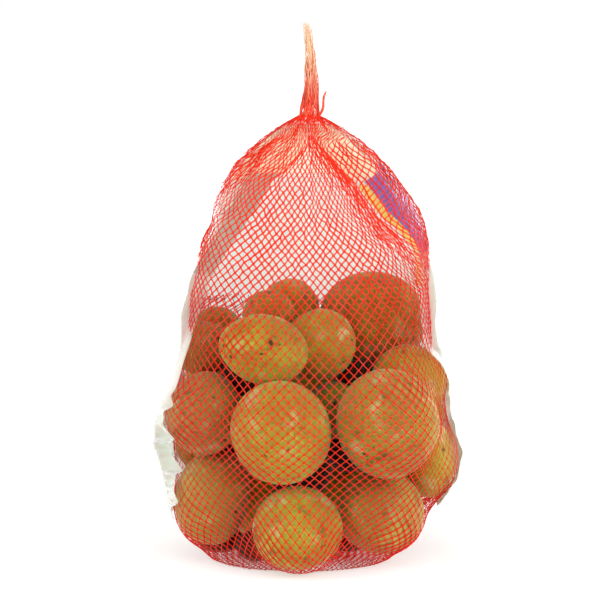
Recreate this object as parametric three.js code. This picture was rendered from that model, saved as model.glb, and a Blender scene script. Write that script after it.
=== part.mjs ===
// Net of potatoes: a gathered net full of loose potatoes, standing on its base,
// with a band of film up each side that also closes the back of the empty part.
// Millimetres. +Z is up, the front faces -Y, and the base lies on z = 0.
import * as THREE from "three";

// Gathered top
const neckHeight = 303;
const neckRadius = 6;
const tailTop = 365;
const tailMiddleRadius = 3.6;
const tailTipRadius = 2.4;
const tailFlare = 1.2;
const tailBow = 1.5;
const tailLean = -1.5;
const tailFlutes = 7;
const tailFluteDepth = 0.14;
const tailGap = 0.3;

// Empty upper net, measured downwards from the neck
const shoulderHalfWidth = 87;
const shoulderDrop = 42;
const frontHalfDepth = 62;
const backHalfDepth = 74;
const depthDrop = 60;
const shoulderLean = 5;
const leanDrop = 75;
const leanSpread = 28;
const pleatCount = 13;
const pleatDepth = 0.07;
const pleatDrop = 30;

// Filled lower net
const girthHeight = 60;
const girthHalfWidth = 97;
const girthHalfDepth = 72;
const footHalfWidth = 62;
const footHalfDepth = 48;
const footLean = -6;
const footRise = 40;
const footCurve = 0.75;
const sectionSquareness = 2.2;
const netOverSkin = 0.8;

// Film bands up the sides and round the back of the empty part
const filmGap = 2.6;
const filmThickness = 0.9;
const filmTop = 297;
const filmFootAngle = 34;
const filmSeamGap = 0.2;
const filmSwellTurn = 11;
const filmFlatTurn = 42;

// Heights with the turn of a band's edge from straight sideways, in degrees, backwards positive
const filmFronts = {
  left: [
    [33, -16], [60, -19], [88, -20], [107, -20], [120, -23], [136, -18], [165, -17], [177, -20],
    [193, -23], [217, -31], [243, -43], [262, -50], [281, -80], [297, -86],
  ],
  right: [
    [33, -14], [60, -8], [74, -3], [90, -4], [110, -6], [136, -8], [147, -16], [216, -20], [241, -36],
    [258, -42], [276, -56], [290, -77], [297, -86],
  ],
};
const filmBack = [[33, 22], [70, 26], [175, 90], [297, 90]];

// Heights with how far a band stands off the net there
const filmStands = {
  left: [
    [33, 0.5], [40, 2], [54, 5], [67, 8.5], [81, 10.5], [95, 7], [109, 2.2], [122, 2], [136, 1.6],
    [150, 0.6], [170, 2.2], [184, 0],
  ],
  right: [
    [74, 0], [88, 1], [102, 3.2], [112, 3.6], [126, 1], [136, 0], [164, 0], [177, 2], [198, 1],
    [205, 0],
  ],
};

// Mesh fineness
const columns = 72;
const rowsBelow = 20;
const rowsAbove = 27;
const axisHeight = 95;
const settlePasses = 400;
const filmRows = 29;
const filmColumns = 22;
const filmSettlePasses = 6;
const tailColumns = 28;
const tailRows = 12;

// Potatoes: centre, half width, half depth, half height, and tilt in the plane facing the front
const potatoes = [
  { at: [-19, -52, 96], half: [35, 34, 36], tilt: 0 },
  { at: [52, -47, 101], half: [35, 33, 37], tilt: -8 },
  { at: [-7, -50, 30], half: [31, 30, 29], tilt: 0 },
  { at: [49, -25, 36], half: [30, 30, 29], tilt: -12 },
  { at: [-71, -20, 103], half: [26, 29, 29], tilt: 0 },
  { at: [-65, -12, 42], half: [27, 30, 34], tilt: 8 },
  { at: [-31, -34, 149], half: [31, 22, 24], tilt: 10 },
  { at: [6, -5, 148], half: [26, 21, 25], tilt: 0 },
  { at: [44, 40, 157], half: [39, 34, 35], tilt: 0 },
  { at: [-27, 7, 165], half: [19, 17, 19], tilt: 15 },
  { at: [-13, 43, 164], half: [22, 21, 24], tilt: 0 },
  { at: [-66, 47, 146], half: [21, 20, 21], tilt: 0 },
  { at: [-73, 6, 143], half: [18, 20, 20], tilt: 0 },
  { at: [68, -2, 121], half: [26, 23, 26], tilt: -15 },
  { at: [83, 1, 68], half: [19, 27, 28], tilt: 0 },
  { at: [-38, 42, 33], half: [34, 31, 31], tilt: 0 },
  { at: [30, 44, 32], half: [33, 30, 31], tilt: 0 },
  { at: [79, 52, 55], half: [22, 24, 27], tilt: 0 },
  { at: [-62, 44, 95], half: [29, 29, 29], tilt: 0 },
  { at: [0, 54, 98], half: [33, 28, 33], tilt: 0 },
  { at: [60, 44, 102], half: [24, 26, 22], tilt: 0 },
];

const toRadians = THREE.MathUtils.degToRad;
const lastRow = rowsBelow + rowsAbove;

// Rays fan out below the axis point, then stand level up to the neck.
function rayOrigin(row) {
  const rise = Math.max(row - rowsBelow, 0) / rowsAbove;
  return new THREE.Vector3(0, 0, axisHeight + rise * (neckHeight - axisHeight));
}

function rayDirection(row, angle) {
  const dip = (Math.max(rowsBelow - row, 0) / rowsBelow) * Math.PI / 2;
  const level = Math.cos(dip);
  return new THREE.Vector3(level * Math.cos(angle), level * Math.sin(angle), -Math.sin(dip));
}

function potatoReach(potato, origin, direction) {
  const turn = new THREE.Matrix4().makeRotationY(toRadians(-potato.tilt));
  const half = new THREE.Vector3(...potato.half).addScalar(netOverSkin);
  const start = new THREE.Vector3(...potato.at).negate().add(origin).applyMatrix4(turn).divide(half);
  const along = direction.clone().applyMatrix4(turn).divide(half);
  const a = along.lengthSq();
  const b = start.dot(along);
  const inside = b * b - a * (start.lengthSq() - 1);
  return inside > 0 ? (Math.sqrt(inside) - b) / a : 0;
}

// Signed measure of a point against the slack net: above zero outside it.
function slackMeasure(point) {
  const drop = Math.max(neckHeight - point.z, 0);
  const height = Math.max(point.z, 0);
  const fill = Math.min(height / girthHeight, 1) ** footCurve;
  const openWidth = neckRadius + (shoulderHalfWidth - neckRadius) * (1 - Math.exp(-drop / shoulderDrop));
  const width = Math.min(openWidth, footHalfWidth + (girthHalfWidth - footHalfWidth) * fill);
  const fullDepth = point.y < 0 ? frontHalfDepth : backHalfDepth;
  const openDepth = neckRadius + (fullDepth - neckRadius) * (1 - Math.exp(-drop / depthDrop));
  const depth = Math.min(openDepth, footHalfDepth + (girthHalfDepth - footHalfDepth) * fill);
  const highLean = shoulderLean * Math.exp(-(((drop - leanDrop) / leanSpread) ** 2));
  const lowLean = footLean * Math.exp(-height / footRise);
  const acrossWidth = Math.abs((point.x - highLean - lowLean) / width) ** sectionSquareness;
  const acrossDepth = Math.abs(point.y / depth) ** sectionSquareness;
  return acrossWidth + acrossDepth - 1;
}

function slackReach(origin, direction) {
  let near = 0;
  let far = 2 * girthHalfWidth;
  for (let halving = 0; halving < 30; halving += 1) {
    const middle = (near + far) / 2;
    const point = origin.clone().addScaledVector(direction, middle);
    if (slackMeasure(point) < 0) {
      near = middle;
    } else {
      far = middle;
    }
  }
  return near;
}

function floorReach(origin, direction) {
  return direction.z < 0 ? -origin.z / direction.z : Infinity;
}

// The net is drawn tight over the potatoes, the slack outline and the floor.
function settleNet() {
  const rows = [];
  for (let row = 0; row <= lastRow; row += 1) {
    const line = [];
    for (let column = 0; column < columns; column += 1) {
      const angle = (column / columns) * 2 * Math.PI;
      const origin = rayOrigin(row);
      const direction = rayDirection(row, angle);
      const floor = floorReach(origin, direction);
      const reaches = potatoes.map((potato) => potatoReach(potato, origin, direction));
      const least = Math.min(Math.max(slackReach(origin, direction), ...reaches), floor);
      line.push({ origin, direction, floor, least, radius: least, point: new THREE.Vector3() });
    }
    rows.push(line);
  }
  const place = (node) => node.point.copy(node.origin).addScaledVector(node.direction, node.radius);
  rows.flat().forEach(place);
  const mean = new THREE.Vector3();
  for (let pass = 0; pass < settlePasses; pass += 1) {
    for (let row = 1; row < lastRow; row += 1) {
      for (let column = 0; column < columns; column += 1) {
        const node = rows[row][column];
        mean.copy(rows[row - 1][column].point).add(rows[row + 1][column].point);
        mean.add(rows[row][(column + 1) % columns].point);
        mean.add(rows[row][(column + columns - 1) % columns].point);
        mean.multiplyScalar(0.25).sub(node.origin);
        node.radius = Math.min(Math.max(mean.dot(node.direction), node.least), node.floor);
        place(node);
      }
    }
  }
  return rows.map((line) => line.map((node) => node.radius));
}

// Gathering folds that run down from the neck and die away.
function pleat(row, angle) {
  const drop = neckHeight - rayOrigin(row).z;
  const wave = Math.cos(pleatCount * angle + 1.1 * Math.sin(2 * angle));
  return 1 + pleatDepth * wave * Math.exp(-drop / pleatDrop);
}

// Reach of the settled net at any row, whole or between two, and any angle.
function netRadius(radii, row, angle) {
  const turn = (angle / (2 * Math.PI) + 1) * columns;
  const column = Math.floor(turn);
  const onLine = (line) => {
    const share = turn - column;
    return line[column % columns] * (1 - share) + line[(column + 1) % columns] * share;
  };
  const low = Math.floor(row);
  const high = Math.min(low + 1, lastRow);
  const radius = onLine(radii[low]) * (low + 1 - row) + onLine(radii[high]) * (row - low);
  return radius * pleat(row, angle);
}

function rayPoint(row, angle, reach) {
  return rayOrigin(row).addScaledVector(rayDirection(row, angle), reach);
}

// Closed mesh from rings of points, each ring running the same way round, with its two ends capped.
function ringSolid(rings, start, end) {
  const around = rings[0].length;
  const points = [start, ...rings.flat(), end];
  const endIndex = points.length - 1;
  const index = [];
  for (let side = 0; side < around; side += 1) {
    const next = (side + 1) % around;
    index.push(0, 1 + next, 1 + side);
    for (let ring = 0; ring + 1 < rings.length; ring += 1) {
      const low = 1 + ring * around;
      const high = low + around;
      index.push(low + side, low + next, high + next);
      index.push(low + side, high + next, high + side);
    }
    const top = endIndex - around;
    index.push(top + side, top + next, endIndex);
  }
  const geometry = new THREE.BufferGeometry().setFromPoints(points);
  geometry.setIndex(index);
  return geometry;
}

// Closed thin sheet between two matching grids of points, walled all round its border.
function sheetSolid(under, over) {
  const rows = under.length;
  const across = under[0].length;
  const points = [...under.flat(), ...over.flat()];
  const overStart = rows * across;
  const index = [];
  const addQuad = (a, b, c, d) => index.push(a, b, c, a, c, d);
  for (let row = 0; row + 1 < rows; row += 1) {
    for (let column = 0; column + 1 < across; column += 1) {
      const low = row * across + column;
      const high = low + across;
      addQuad(low, high, high + 1, low + 1);
      addQuad(overStart + low, overStart + low + 1, overStart + high + 1, overStart + high);
    }
  }
  const border = [];
  for (let column = 0; column + 1 < across; column += 1) {
    border.push(column);
  }
  for (let row = 0; row + 1 < rows; row += 1) {
    border.push(row * across + across - 1);
  }
  for (let column = across - 1; column > 0; column -= 1) {
    border.push((rows - 1) * across + column);
  }
  for (let row = rows - 1; row > 0; row -= 1) {
    border.push(row * across);
  }
  border.forEach((from, place) => {
    const to = border[(place + 1) % border.length];
    addQuad(from, to, overStart + to, overStart + from);
  });
  const geometry = new THREE.BufferGeometry().setFromPoints(points);
  geometry.setIndex(index);
  return geometry;
}

function netBody(radii) {
  const rings = [];
  for (let row = 1; row <= lastRow; row += 1) {
    const ring = [];
    for (let column = 0; column < columns; column += 1) {
      const angle = (column / columns) * 2 * Math.PI;
      ring.push(rayPoint(row, angle, netRadius(radii, row, angle)));
    }
    rings.push(ring);
  }
  return ringSolid(rings, new THREE.Vector3(0, 0, 0), new THREE.Vector3(0, 0, neckHeight));
}

function tailBody() {
  const bottom = neckHeight + tailGap;
  const smooth = THREE.MathUtils.smoothstep;
  const rings = [];
  for (let row = 0; row <= tailRows; row += 1) {
    const share = row / tailRows;
    const waist = THREE.MathUtils.lerp(neckRadius + 0.4, tailMiddleRadius, smooth(share, 0, 0.6));
    const tip = tailTipRadius + tailFlare * smooth(share, 0.88, 1);
    const radius = THREE.MathUtils.lerp(waist, tip, smooth(share, 0.4, 1));
    const middle = tailBow * Math.sin(Math.PI * share) + tailLean * share ** 3;
    const ring = [];
    for (let column = 0; column < tailColumns; column += 1) {
      const angle = (column / tailColumns) * 2 * Math.PI;
      const flute = 1 + tailFluteDepth * Math.cos(tailFlutes * angle + 2.5 * share);
      const x = middle + radius * flute * Math.cos(angle);
      const y = radius * flute * Math.sin(angle);
      ring.push(new THREE.Vector3(x, y, bottom + share * (tailTop - bottom)));
    }
    rings.push(ring);
  }
  return ringSolid(rings, new THREE.Vector3(0, 0, bottom), new THREE.Vector3(tailLean, 0, tailTop));
}

// Value at a height, read along straight lines between stations.
function readStations(stations, height) {
  const next = stations.findIndex((station) => station[0] > height);
  if (next === 0) {
    return stations[0][1];
  }
  if (next < 0) {
    return stations[stations.length - 1][1];
  }
  const [lowHeight, low] = stations[next - 1];
  const [highHeight, high] = stations[next];
  return THREE.MathUtils.mapLinear(height, lowHeight, highHeight, low, high);
}

// One band of film: drawn straighter over the bumps of the net, standing off it behind its front edge.
function filmBody(radii, side) {
  const smooth = THREE.MathUtils.smoothstep;
  const firstRow = rowsBelow * (1 - filmFootAngle / 90);
  const topRow = rowsBelow + (rowsAbove * (filmTop - axisHeight)) / (neckHeight - axisHeight);
  const lines = [];
  for (let step = 0; step <= filmRows; step += 1) {
    const row = firstRow + ((topRow - firstRow) * step) / filmRows;
    const dip = (Math.max(rowsBelow - row, 0) / rowsBelow) * Math.PI / 2;
    const height = rayOrigin(row).z - girthHalfWidth * Math.tan(dip);
    const seam = 90 - THREE.MathUtils.radToDeg(filmSeamGap / netRadius(radii, row, Math.PI / 2));
    const front = readStations(filmFronts[side], height);
    const back = Math.min(readStations(filmBack, height), seam);
    const stand = readStations(filmStands[side], height);
    const line = [];
    for (let column = 0; column <= filmColumns; column += 1) {
      const behind = ((back - front) * column) / filmColumns;
      const swing = toRadians(front + behind);
      const angle = side === "right" ? swing : Math.PI - swing;
      const swell = smooth(behind, 0, filmSwellTurn) * (1 - smooth(behind, filmSwellTurn, filmFlatTurn));
      const least = netRadius(radii, row, angle) + filmGap;
      line.push({ row, angle, least, reach: least, extra: stand * swell });
    }
    lines.push(line);
  }
  for (let pass = 0; pass < filmSettlePasses; pass += 1) {
    for (let step = 1; step < filmRows; step += 1) {
      lines[step].forEach((node, column) => {
        const mean = (lines[step - 1][column].reach + lines[step + 1][column].reach) / 2;
        node.reach = Math.max(node.least, mean);
      });
    }
  }
  const sheetAt = (thickness) => {
    const place = (node) => rayPoint(node.row, node.angle, node.reach + node.extra + thickness);
    return lines.map((line) => line.map(place));
  };
  const inner = sheetAt(0);
  const outer = sheetAt(filmThickness);
  return side === "right" ? sheetSolid(inner, outer) : sheetSolid(outer, inner);
}

function addPart(group, name, geometry, color, roughness) {
  geometry.computeVertexNormals();
  const material = new THREE.MeshStandardMaterial({ color, roughness });
  const mesh = new THREE.Mesh(geometry, material);
  mesh.name = name;
  group.add(mesh);
}

const radii = settleNet();

const part = new THREE.Group();
part.name = "net_of_potatoes";
addPart(part, "net_bag", netBody(radii), 0xd9743a, 0.6);
addPart(part, "net_tail", tailBody(), 0xe8502c, 0.6);
addPart(part, "film_band_left", filmBody(radii, "left"), 0xf2f0ea, 0.4);
addPart(part, "film_band_right", filmBody(radii, "right"), 0xf2f0ea, 0.4);

export default part;
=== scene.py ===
import math

import bpy
import numpy as np
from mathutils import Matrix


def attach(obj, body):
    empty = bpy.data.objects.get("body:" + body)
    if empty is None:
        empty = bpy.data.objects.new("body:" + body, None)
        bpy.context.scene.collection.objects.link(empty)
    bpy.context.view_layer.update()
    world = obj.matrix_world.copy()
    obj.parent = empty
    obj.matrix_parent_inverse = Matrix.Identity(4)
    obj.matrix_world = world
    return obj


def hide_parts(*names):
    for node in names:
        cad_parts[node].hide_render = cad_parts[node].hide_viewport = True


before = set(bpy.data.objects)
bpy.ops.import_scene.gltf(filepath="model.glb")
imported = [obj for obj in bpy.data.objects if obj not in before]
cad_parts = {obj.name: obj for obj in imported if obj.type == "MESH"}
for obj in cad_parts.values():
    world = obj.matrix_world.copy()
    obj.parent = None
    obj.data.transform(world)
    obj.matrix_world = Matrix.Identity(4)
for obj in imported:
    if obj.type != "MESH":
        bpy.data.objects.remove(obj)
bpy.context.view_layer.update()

millimetre = 0.001  # shapes are worked out in millimetres and placed in metres
mapMargin = 0.02  # how far a piece's colour map keeps off the edges of its tiles
draw = np.random.default_rng(29)  # every random choice comes from here


def linear(red, green, blue):  # a colour as seen on screen, 0 to 255, for a shader
    shares = [value / 255 for value in (red, green, blue)]
    return tuple(s / 12.92 if s <= 0.04045 else ((s + 0.055) / 1.055) ** 2.4 for s in shares) + (1.0,)


def smooth(value, low, high):
    share = np.clip((value - low) / (high - low), 0, 1)
    return share * share * (3 - 2 * share)


def unit(vectors):
    return vectors / np.maximum(np.linalg.norm(vectors, axis=-1, keepdims=True), 1e-9)


def wrapTurn(angle):  # the same turn, within half a lap of none
    return (angle + math.pi) % (2 * math.pi) - math.pi


def gridQuads(index):  # faces between neighbours in a grid of point numbers
    return np.stack([index[:-1, :-1], index[:-1, 1:], index[1:, 1:], index[1:, :-1]], -1).reshape(-1, 4)


def readGrid(grid, row, column):  # a value between the four nearest; the columns run on round
    rows, columns = grid.shape
    low = np.minimum(np.floor(row).astype(int), rows - 2)
    left = np.floor(column).astype(int) % columns
    right = (left + 1) % columns
    up, across = row - low, column - np.floor(column)
    lower = grid[low, left] * (1 - across) + grid[low, right] * across
    upper = grid[low + 1, left] * (1 - across) + grid[low + 1, right] * across
    return lower * (1 - up) + upper * up


def makePiece(name, points, quads, material, values=None, uv=None):
    mesh = bpy.data.meshes.new(name)
    mesh.vertices.add(len(points))
    mesh.vertices.foreach_set("co", (points * millimetre).astype(np.float32).ravel())
    mesh.loops.add(quads.size)
    mesh.loops.foreach_set("vertex_index", quads.astype(np.int32).ravel())
    mesh.polygons.add(len(quads))
    mesh.polygons.foreach_set("loop_start", np.arange(0, quads.size, 4, dtype=np.int32))
    mesh.polygons.foreach_set("use_smooth", np.ones(len(quads), bool))
    for label, numbers in (values or {}).items():
        mesh.attributes.new(label, "FLOAT", "POINT").data.foreach_set("value", numbers.astype(np.float32))
    if uv is not None:
        mesh.uv_layers.new(name="OFBake").data.foreach_set("uv", uv.astype(np.float32).ravel())
    mesh.update(calc_edges=True)
    mesh.materials.append(material)
    piece = bpy.data.objects.new(name, mesh)
    bpy.context.collection.objects.link(piece)
    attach(piece, "root")
    return piece


# shader building blocks

def addNode(tree, kind, **settings):  # a setting is one of the node's properties, or else a socket
    node = tree.nodes.new(kind)
    for key, value in settings.items():
        if hasattr(node, key):
            setattr(node, key, value)
        else:
            node.inputs[key].default_value = value
    return node


def fillSocket(tree, socket, value):  # with a constant, or with a link from another node
    if isinstance(value, (tuple, float, int)):
        socket.default_value = value
    else:
        tree.links.new(value, socket)


def mixColour(tree, factor, first, second):
    node = addNode(tree, "ShaderNodeMix", data_type="RGBA")
    for number, value in ((0, factor), (6, first), (7, second)):  # the mix node's colour sockets
        fillSocket(tree, node.inputs[number], value)
    return node.outputs[2]


def calculate(tree, operation, first, second=0.0, third=0.0):
    node = addNode(tree, "ShaderNodeMath", operation=operation)
    for socket, value in zip(node.inputs, (first, second, third)):
        fillSocket(tree, socket, value)
    return node.outputs[0]


def ramp(tree, value, low, high, start=0.0, end=1.0):
    node = addNode(tree, "ShaderNodeMapRange", interpolation_type="SMOOTHSTEP")
    tree.links.new(value, node.inputs[0])
    for socket, number in zip(list(node.inputs)[1:5], (low, high, start, end)):
        socket.default_value = number
    return node.outputs[0]


def readValue(tree, label):
    return addNode(tree, "ShaderNodeAttribute", attribute_name=label).outputs["Fac"]


def cloudGroup():  # soft uneven patches, used by the skins and the film
    group = bpy.data.node_groups.new("cloudMask", "ShaderNodeTree")
    group.interface.new_socket("Vector", in_out="INPUT", socket_type="NodeSocketVector")
    for label in ("Scale", "Detail", "Low", "High"):
        group.interface.new_socket(label, in_out="INPUT", socket_type="NodeSocketFloat")
    group.interface.new_socket("Mask", in_out="OUTPUT", socket_type="NodeSocketFloat")
    start = group.nodes.new("NodeGroupInput")
    end = group.nodes.new("NodeGroupOutput")
    noise = addNode(group, "ShaderNodeTexNoise")
    spread = addNode(group, "ShaderNodeMapRange", interpolation_type="SMOOTHSTEP")
    for label in ("Vector", "Scale", "Detail"):
        group.links.new(start.outputs[label], noise.inputs[label])
    group.links.new(noise.outputs["Fac"], spread.inputs[0])
    group.links.new(start.outputs["Low"], spread.inputs[1])
    group.links.new(start.outputs["High"], spread.inputs[2])
    group.links.new(spread.outputs[0], end.inputs["Mask"])
    return group


cloudMask = cloudGroup()


def clouds(tree, vector, scale, detail, low, high):
    node = addNode(tree, "ShaderNodeGroup", node_tree=cloudMask)
    tree.links.new(vector, node.inputs["Vector"])
    for label, number in (("Scale", scale), ("Detail", detail), ("Low", low), ("High", high)):
        node.inputs[label].default_value = number
    return node.outputs["Mask"]


def newMaterial(name):
    material = bpy.data.materials.new(name)
    material.use_nodes = True
    tree = material.node_tree
    return material, tree, tree.nodes["Principled BSDF"]


def setFinish(shader, finish):  # constants set straight on the shader's sockets
    for label, value in finish.items():
        shader.inputs[label].default_value = value


def addBump(tree, shader, height, strength, distance):
    bump = addNode(tree, "ShaderNodeBump", Strength=strength, Distance=distance)
    tree.links.new(height, bump.inputs["Height"])
    tree.links.new(bump.outputs["Normal"], shader.inputs["Normal"])


# the net's drawn shape

netShape = {
    "neckHeight": 303, "neckRadius": 6, "axisHeight": 95,
    "shoulderHalfWidth": 87, "shoulderDrop": 42,  # half width of the empty net, and the drop it opens over
    "frontHalfDepth": 62, "backHalfDepth": 74, "depthDrop": 60,
    "shoulderLean": 5, "leanDrop": 75, "leanSpread": 28,
    "girthHeight": 60, "girthHalfWidth": 97, "girthHalfDepth": 72,
    "footHalfWidth": 62, "footHalfDepth": 48, "footLean": -6, "footRise": 40, "footCurve": 0.75,
    "sectionSquareness": 2.2, "netOverSkin": 0.8,
    "pleatCount": 13, "pleatDepth": 0.07, "pleatDrop": 30, "pleatSway": 1.1,
    "fanRows": 60, "levelRows": 104, "columns": 216, "halvings": 30, "passes": 700,
}
climbHeight = netShape["neckHeight"] - netShape["axisHeight"]  # how far the level rays climb

# kind, centre, half sizes and tilt of each potato; the first sixteen show from the front
potatoRows = [
    ("front_middle", (-19, -52, 96), (35, 34, 36), 0),
    ("front_right", (52, -47, 101), (35, 33, 37), -8),
    ("low_middle", (-7, -50, 30), (31, 30, 29), 0),
    ("low_right", (49, -25, 36), (30, 30, 29), -12),
    ("left_middle", (-71, -20, 103), (26, 29, 29), 0),
    ("low_left", (-65, -12, 42), (27, 30, 34), 8),
    ("upper_oval", (-31, -34, 149), (31, 22, 24), 10),
    ("upper_middle", (6, -5, 148), (26, 21, 25), 0),
    ("upper_right", (44, 40, 157), (39, 34, 35), 0),
    ("upper_small", (-27, 7, 165), (19, 17, 19), 15),
    ("upper_back", (-13, 43, 164), (22, 21, 24), 0),
    ("left_back", (-66, 47, 146), (21, 20, 21), 0),
    ("left_upper", (-73, 6, 143), (18, 20, 20), 0),
    ("right_upper", (68, -2, 121), (26, 23, 26), -15),
    ("right_low", (83, 1, 68), (19, 27, 28), 0),
    ("between", (17, 0, 101), (20, 19, 20), 0),
    ("back_low_left", (-38, 42, 33), (34, 31, 31), 0),
    ("back_low_middle", (30, 44, 32), (33, 30, 31), 0),
    ("back_low_right", (79, 52, 55), (22, 24, 27), 0),
    ("back_left", (-62, 44, 95), (29, 29, 29), 0),
    ("back_middle", (0, 54, 98), (33, 28, 33), 0),
    ("back_right", (60, 44, 102), (24, 26, 22), 0),
    ("core_low", (-5, -1, 57), (22, 19, 24), 0),
    ("core_left", (-42, 4, 128), (21, 19, 20), 0),
    ("core_right", (28, 15, 71), (18, 18, 17), 0),
    ("core_high", (34, 13, 121), (15, 12, 14), 0),
    ("core_side", (-48, 6, 79), (16, 16, 16), 0),
    ("edge_left", (-78, 12, 73), (15, 18, 17), 0),
    ("edge_upper", (-74, 6, 125), (12, 14, 10), 0),
    ("edge_right", (79, 3, 98), (14, 17, 14), 0),
    ("core_upper", (-49, 14, 146), (7, 12, 12), 0),
    ("core_back_right", (36, 66, 117), (11, 11, 12), 0),
    ("core_back_left", (-46, 60, 127), (11, 10, 10), 0),
    ("core_foot_left", (-59, -5, 11), (17, 15, 10), 0),
    ("core_foot_front", (-36, -24, 12), (14, 13, 11), 0),
    ("core_foot_right", (26, -6, 13), (15, 14, 12), 0),
]
potatoList = [dict(zip(("kind", "at", "half", "tilt"), row)) for row in potatoRows]


def tiltMatrix(degrees):
    c, s = math.cos(math.radians(degrees)), math.sin(math.radians(degrees))
    return np.array([[c, 0, s], [0, 1, 0], [-s, 0, c]])


def raysAt(level, angle):  # level 0 to 1 fans up from straight down, 1 to 2 climbs to the neck
    level, angle = np.broadcast_arrays(np.asarray(level, float), np.asarray(angle, float))
    dip = np.clip(1 - level, 0, 1) * math.pi / 2
    height = netShape["axisHeight"] + np.clip(level - 1, 0, 1) * climbHeight
    origin = np.stack([0 * height, 0 * height, height], -1)
    direction = np.stack([np.cos(dip) * np.cos(angle), np.cos(dip) * np.sin(angle), -np.sin(dip)], -1)
    return origin, direction


def potatoReach(potato, origin, direction):
    turn = tiltMatrix(potato["tilt"])
    half = np.array(potato["half"]) + netShape["netOverSkin"]
    start = (origin - np.array(potato["at"])) @ turn / half
    along = direction @ turn / half
    a = (along ** 2).sum(-1)
    b = (start * along).sum(-1)
    inside = b * b - a * ((start ** 2).sum(-1) - 1)
    return np.where(inside > 0, (np.sqrt(np.maximum(inside, 0)) - b) / a, 0)


def insideSlack(points):  # true inside the outline that the slack net keeps by itself
    v = netShape
    x, y, z = points[..., 0], points[..., 1], points[..., 2]
    drop = np.maximum(v["neckHeight"] - z, 0)
    height = np.maximum(z, 0)
    fill = np.minimum(height / v["girthHeight"], 1) ** v["footCurve"]
    opened = 1 - np.exp(-drop / v["shoulderDrop"])
    deepened = 1 - np.exp(-drop / v["depthDrop"])
    width = v["neckRadius"] + (v["shoulderHalfWidth"] - v["neckRadius"]) * opened
    width = np.minimum(width, v["footHalfWidth"] + (v["girthHalfWidth"] - v["footHalfWidth"]) * fill)
    fullDepth = np.where(y < 0, v["frontHalfDepth"], v["backHalfDepth"])
    depth = v["neckRadius"] + (fullDepth - v["neckRadius"]) * deepened
    depth = np.minimum(depth, v["footHalfDepth"] + (v["girthHalfDepth"] - v["footHalfDepth"]) * fill)
    lean = v["shoulderLean"] * np.exp(-((drop - v["leanDrop"]) / v["leanSpread"]) ** 2)
    lean = lean + v["footLean"] * np.exp(-height / v["footRise"])
    power = v["sectionSquareness"]
    return np.abs((x - lean) / width) ** power + np.abs(y / depth) ** power < 1


def settleNet():  # drawn tight over the potatoes, the slack outline and the floor
    v = netShape
    levels = np.concatenate([np.arange(v["fanRows"]) / v["fanRows"],
                             1 + np.arange(v["levelRows"] + 1) / v["levelRows"]])
    angles = np.arange(v["columns"]) * 2 * math.pi / v["columns"]
    origin, direction = raysAt(levels[:, None], angles[None, :])
    near = np.zeros(direction.shape[:2])
    far = near + 2 * v["girthHalfWidth"]
    for halving in range(v["halvings"]):
        middle = (near + far) / 2
        inside = insideSlack(origin + direction * middle[..., None])
        near, far = np.where(inside, middle, near), np.where(inside, far, middle)
    for potato in potatoList:
        near = np.maximum(near, potatoReach(potato, origin, direction))
    tiny, farAway = 1e-6, 1e6
    downward = np.minimum(direction[..., 2], -tiny)
    floor = np.where(direction[..., 2] < -tiny, -origin[..., 2] / downward, farAway)
    least = np.minimum(near, floor)
    radius = least.copy()
    for step in range(v["passes"]):
        points = origin + direction * radius[..., None]
        mean = (points[2:] + points[:-2] + np.roll(points, 1, 1)[1:-1] + np.roll(points, -1, 1)[1:-1]) / 4
        pulled = ((mean - origin[1:-1]) * direction[1:-1]).sum(-1)
        radius[1:-1] = np.minimum(np.maximum(pulled, least[1:-1]), floor[1:-1])
    return radius


netRadius = settleNet()
print("net drawn over the potatoes")


def readRadius(level, angle):
    v = netShape
    row = np.where(level < 1, level * v["fanRows"], v["fanRows"] + (level - 1) * v["levelRows"])
    lastRow = netRadius.shape[0] - 1.001  # just short of the neck's own row
    return readGrid(netRadius, np.clip(row, 0, lastRow), (angle / (2 * math.pi) % 1) * v["columns"])


def dropAt(level):  # how far below the neck
    return (2 - np.clip(level, 1, 2)) * climbHeight


def pleat(level, angle):  # gathering folds that run down from the neck and die away
    v = netShape
    wave = np.cos(v["pleatCount"] * angle + v["pleatSway"] * np.sin(2 * angle))
    return 1 + v["pleatDepth"] * wave * np.exp(-dropAt(level) / v["pleatDrop"])


def netPoint(level, angle, extra=0.0):
    level, angle = np.broadcast_arrays(np.asarray(level, float), np.asarray(angle, float))
    origin, direction = raysAt(level, angle)
    reach = readRadius(level, angle) * pleat(level, angle) + extra
    return origin + direction * reach[..., None]


def levelAndAngle(points):
    v = netShape
    x, y, z = points[..., 0], points[..., 1], points[..., 2]
    dip = np.arctan2(v["axisHeight"] - z, np.hypot(x, y))
    climb = (z - v["axisHeight"]) / climbHeight
    return np.where(z < v["axisHeight"], 1 - dip / (math.pi / 2), 1 + climb), np.arctan2(y, x)


# potatoes

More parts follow.
